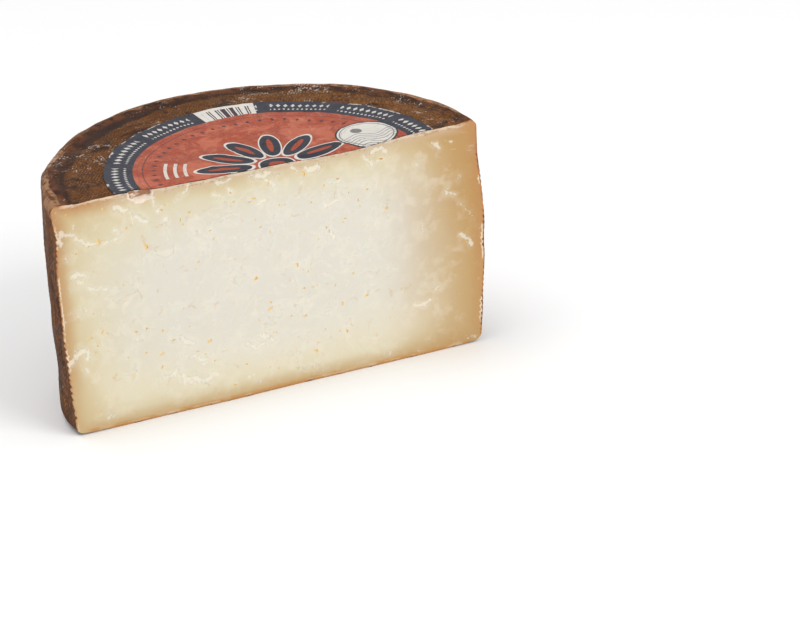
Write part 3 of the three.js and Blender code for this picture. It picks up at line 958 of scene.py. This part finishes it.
def label_material(settings):
    """Printed paper: a red disc in a dark ring, with a plain ornament in the ring's colour."""
    material, s, shader = new_material("printed_label")
    x, y = s.x - mm(settings.offset_x), s.y - mm(settings.offset_y)
    r, degrees = distance(x, y), y.math("ARCTAN2", x) * math.degrees(1)
    in_ring = r.ramp(mm(settings.disc) - 0.1, mm(settings.disc) + 0.1)
    groups = between(((degrees + 7) / 27).fraction(), 0, 0.83, 0.01)
    leaves = diamonds(degrees, r, 2.7, LEAF_RING, 1.0, 1.7)
    dots = diamonds(degrees, r, 1.8, DOT_RING, 0.6, 0.8)
    panel = both(in_ring, between(degrees, 74.9, 97.1, 0.2))
    bars = (degrees * 0.62 + (degrees * 1.7).sine() * 0.35).fraction().ramp(0.5, 0.54)
    bars = both(bars, r.ramp(68.4, 68.2), between(degrees, 77, 95, 0.1))
    outline, petals, veins = flower(degrees, r)
    field_edge, field, drawing = round_field(x, y)
    strokes = either(*(ring_mask(r, ring, 0.7) for ring in ARC_RINGS))
    strokes = both(strokes, between(degrees, 150, 172, 0.5))
    beads = diamonds(degrees, r, 6, BEAD_RING, 0.9, 1.4)
    stitches = diamonds(degrees, r, 2, STITCH_RING, 0.45, 0.35)
    fibres = s.noise(0.7, 3)
    print_wear_and_painted_sheen = s.noise(5, 6, rough=0.68).ramp(0.4, 0.75)
    creases_and_painted_shade = s.noise(7, 4, bend=0.6)
    folds_and_painted_highlights = (s.noise(13, 3, bend=0.9) - 0.5).size().ramp(0.022, 0.0)
    paper, navy, red = settings.paper, settings.navy, settings.red
    rubbed = both((r + (s.noise(2, 4) - 0.5) * 3).ramp(70.2, 70.7), s.noise(9, 3).ramp(0.55, 0.62))
    tone = s.layers(
        red,
        # Painted sheen, with some worn print: lighter patches on the red
        (print_wear_and_painted_sheen * 0.4, srgb(214, 134, 108)),
        # Painted shade: darker red on the low facets of the crumpled paper
        (creases_and_painted_shade.ramp(0.52, 0.4) * 0.32, srgb(146, 60, 38)),
        # Painted sheen: lighter patches on the red paper
        (s.noise(15, 3, bend=0.5).ramp(0.52, 0.62) * 0.42, srgb(206, 120, 90)),
        # Painted highlights: lighter lines along the folds
        (folds_and_painted_highlights * 0.3, srgb(216, 140, 112)),
        (ring_mask(r, LINE_RING, 0.22) * 0.7, navy),
        (stitches * 0.6, navy),
        (beads * (1 - in_ring) * 0.85, navy),
        (outline, paper),
        (petals, navy),
        (veins, red),
        (strokes * 0.9, paper),
        (field_edge, navy),
        (field, paper),
        (drawing * 0.8, srgb(84, 78, 84)),
        (in_ring, navy),
        # Worn ink and painted sheen: greyer patches on the dark ring
        (both(in_ring, print_wear_and_painted_sheen) * 0.25, srgb(104, 104, 116)),
        (both(in_ring, either(leaves, dots), groups) * 0.85, paper),
        (panel, paper),
        (both(panel, bars), srgb(70, 50, 60)),
        (rubbed * 0.8, paper),
        (fibres.ramp(0.62, 0.8) * 0.12, paper),
    )
    feed(shader, {
        "Base Color": tone,
        "Roughness": print_wear_and_painted_sheen.ramp(0, 1, 0.46, 0.6),
        "Specular IOR Level": 0.28,
        "Normal": s.bump(creases_and_painted_shade * 0.9 + folds_and_painted_highlights * 0.25 + fibres * 0.1, 0.7),
    })
    return material


def label_sheet(settings, material):
    """The whole round label lying on the uneven top, with small folds in the paper."""
    radius, cell, thick, gap = mm(settings.radius), 1.4, 0.28, 0.15
    rings = round(radius / cell)
    reach = [radius * i / rings for i in range(rings + 1)]
    section = [(r, 0) for r in reach] + [(r, thick) for r in reversed(reach)]
    bm = turned(section, steps=250)
    offset = Vector((settings.offset_x, settings.offset_y, 0))
    bmesh.ops.translate(bm, verts=bm.verts, vec=offset)
    sheet = new_object("paper_label", bm, material)
    x, y, z = coordinates(sheet.data)
    middle = np.array(offset) / MM
    r = np.hypot(x - middle[0], y - middle[1])
    ridge = np.abs(crags(x, y, 0, 13, 71))
    folds = 0.12 * hills(x, y, 0, 17, 1.1) + 0.2 * smooth(0.12, 0, ridge) + 0.05 * crags(x, y, 0, 4, 9)
    curl = 0.22 * smooth(radius - 4, radius, r) * smooth(-0.1, 0.6, hills(x, y, 0, 24, 8.4))
    lift = gap + np.maximum(folds + curl, -0.06)
    up = z + top_profile(np.hypot(x, y)) + top_lumps(x, y) + rolled_edge(x, y) + lift
    place(sheet.data, x, y, up)
    return sheet


class CHEESE_OT_half_wheel(bpy.types.Operator):
    """Build the half wheel of cheese with its rind and cut face"""

    bl_idname = "cheese.half_wheel"
    bl_label = "Half wheel"

    def execute(self, context):
        colours = context.scene.cheese_colours
        steps = round(FULL_TURN * mm(wheel().radius) / mm(wheel().rind_cell))
        rind, paste = rind_material(colours), paste_material(colours)
        cheese = new_object("half_wheel", turned(wheel_section(), steps), rind)
        uneven_wheel(cheese.data)
        cut_away(cheese, knife_block(paste))
        cut_away(cheese, eye_blobs(paste))
        finish_cheese(cheese.data)
        soften(cheese.data, 48)
        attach(cheese, "root")
        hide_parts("cheese")
        return {"FINISHED"}


class CHEESE_OT_label(bpy.types.Operator):
    """Build the half of the round paper label on top"""

    bl_idname = "cheese.label"
    bl_label = "Paper label"

    def execute(self, context):
        settings = context.scene.cheese_label
        printed = label_material(settings)
        sheet = label_sheet(settings, printed)
        cut_away(sheet, knife_block(printed))
        soften(sheet.data, 40)
        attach(sheet, "root")
        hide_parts("label")
        return {"FINISHED"}


def area_light(name, at, size, watts):
    """A soft square light that points at the cheese."""
    data = bpy.data.lights.new(name, "AREA")
    data.size, data.energy = size, watts
    light = add_object(name, data)
    light.location = at
    towards = Vector((0, 0, 0.05)) - Vector(at)
    light.rotation_euler = towards.to_track_quat("-Z", "Y").to_euler()


def add_camera(settings):
    """A camera at the photograph's viewing angle, aimed past the middle of the cut face."""
    azimuth, elevation = settings.azimuth, settings.elevation
    back = Vector((
        math.sin(azimuth) * math.cos(elevation), -math.cos(azimuth) * math.cos(elevation),
        math.sin(elevation),
    ))
    right = Vector((math.cos(azimuth), math.sin(azimuth), 0))
    turn = Matrix.Rotation(settings.roll, 3, back)
    right, up = turn @ right, turn @ back.cross(right)
    aim = AXIS + Vector((0, 0, 46 * MM))
    data = bpy.data.cameras.new("camera")
    data.sensor_width, data.lens = 36, settings.focal_length
    data.clip_start, data.clip_end = 0.05, 20
    camera = add_object("camera", data)
    stand = aim + back * settings.distance + right * settings.slide_right - up * settings.slide_down
    axes = Matrix((right, up, back)).transposed()
    camera.matrix_world = Matrix.Translation(stand) @ axes.to_4x4()
    bpy.context.scene.camera = camera


class CHEESE_OT_stage(bpy.types.Operator):
    """Set up the pale floor, the soft lights and the camera"""

    bl_idname = "cheese.stage"
    bl_label = "Stage"

    def execute(self, context):
        settings = context.scene.cheese_stage
        bm = bmesh.new()
        bmesh.ops.create_grid(bm, x_segments=2, y_segments=2, size=4)
        material, _, shader = new_material("pale_floor")
        feed(shader, {"Base Color": settings.floor, "Roughness": 0.8})
        new_object("floor", bm, material)
        world = bpy.data.worlds.new("soft_white")
        world.use_nodes = True
        feed(world.node_tree.nodes["Background"], {"Color": (1, 1, 1, 1), "Strength": 0.62})
        context.scene.world = world
        context.scene.view_settings.view_transform = "Standard"
        area_light("key", (0.7, -1.3, 1.2), 1.0, 14)
        area_light("top", (-0.4, 0.3, 1.6), 1.2, 10)
        add_camera(settings)
        return {"FINISHED"}


class CHEESE_PT_panel(bpy.types.Panel):
    bl_label = "Aged sheep cheese"
    bl_space_type = "VIEW_3D"
    bl_region_type = "UI"
    bl_category = "Cheese"

    def draw(self, context):
        scene, layout = context.scene, self.layout
        for group in (scene.cheese_wheel, scene.cheese_colours, scene.cheese_label, scene.cheese_stage):
            box = layout.box()
            for name in group.__annotations__:
                box.prop(group, name)
        for operator in OPERATORS:
            layout.operator(operator.bl_idname)


OPERATORS = (CHEESE_OT_half_wheel, CHEESE_OT_label, CHEESE_OT_stage)
GROUPS = {
    "cheese_wheel": WheelSizes,
    "cheese_colours": CheeseColours,
    "cheese_label": LabelSettings,
    "cheese_stage": StageSettings,
}


def register():
    for kind in (*GROUPS.values(), *OPERATORS, CHEESE_PT_panel):
        bpy.utils.register_class(kind)
    for name, kind in GROUPS.items():
        setattr(bpy.types.Scene, name, PointerProperty(type=kind))


def unregister():
    for name in GROUPS:
        delattr(bpy.types.Scene, name)
    for kind in (CHEESE_PT_panel, *reversed(OPERATORS), *GROUPS.values()):
        bpy.utils.unregister_class(kind)


def main():
    register()
    bpy.ops.cheese.half_wheel()
    bpy.ops.cheese.label()
    bpy.ops.cheese.stage()


if __name__ == "__main__":
    main()
